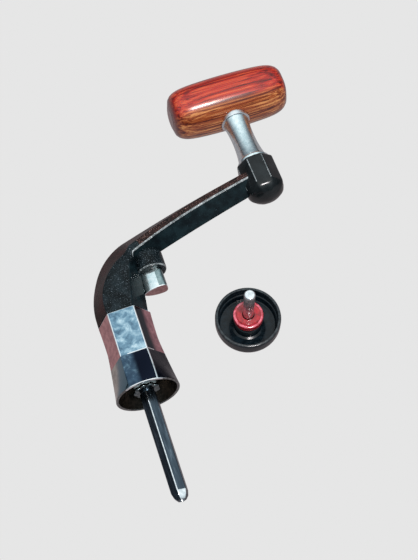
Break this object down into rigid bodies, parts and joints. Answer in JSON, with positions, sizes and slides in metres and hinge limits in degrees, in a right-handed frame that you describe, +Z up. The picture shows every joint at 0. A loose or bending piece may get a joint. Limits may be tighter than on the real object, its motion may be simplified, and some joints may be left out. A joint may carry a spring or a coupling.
{
  "type": "reel crank handle",
  "caption": "Fold-down crank handle of a spinning reel: hexagonal drive shaft, chrome bell shank, black arm with push button, wooden T-shaped knob that turns, and a loose screw cap.",
  "frame": {"origin": "middle of the whole object's box, on the table (z = 0)", "axes": "+Z up from the table; +Y horizontally along the drive shaft, from its tip towards the wooden knob; +X from the shank towards the knob's side"},
  "size_m": [0.087, 0.14, 0.0243],
  "materials": {
    "chrome": "polished chrome plate",
    "black_paint": "gloss black paint on die-cast metal",
    "lacquered_wood": "red-brown wood under gloss lacquer",
    "steel": "machined steel",
    "bronze": "plain bearing bronze",
    "black_plastic": "gloss black moulding",
    "red_plastic": "gloss red moulding"
  },
  "bodies": {
    "shank": {"shank_bell": "chrome", "drive_shaft": "steel", "shaft_lock_ring": "steel"},
    "arm": {"crank_arm": "black_paint", "fold_hinge_pin": "steel", "button_spring": "steel", "button_stop_pin": "steel", "knob_spindle": "steel", "thrust_washer": "steel", "retaining_washer": "steel", "knob_nut": "steel"},
    "button": {"release_button": "chrome", "lock_pawl": "steel"},
    "knob": {"t_bar": "lacquered_wood", "knob_sleeve": "chrome", "bush_lower": "bronze", "bush_upper": "bronze", "knob_end_cap": "chrome"},
    "cap": {"cap_shell": "black_plastic", "cap_insert": "red_plastic", "cap_stud": "steel", "cap_stud_nut": "steel"}
  },
  "joints": [
    {"name": "fold_hinge", "type": "hinge", "parent": "shank", "child": "arm", "pos_m": [-0.02727, -0.00353, 0.00892], "axis": [0.097, -0.0606, -0.9934], "range_deg": [0, 40]},
    {"name": "button_press", "type": "slide", "parent": "arm", "child": "button", "axis": [0, 0.9981, -0.0608], "range_m": [0, 0.0026], "stiffness_N_per_m": 400, "deforming": ["button_spring"]},
    {"name": "knob_spin", "type": "hinge", "parent": "arm", "child": "knob", "pos_m": [0.02301, 0.06119, 0.00988], "axis": [-0.0261, 0.9977, -0.0634], "continuous": true},
    {"name": "cap_lift", "type": "slide", "parent": "shank", "child": "cap", "axis": [0, 0, 1], "range_m": [0, 0.03]}
  ]
}
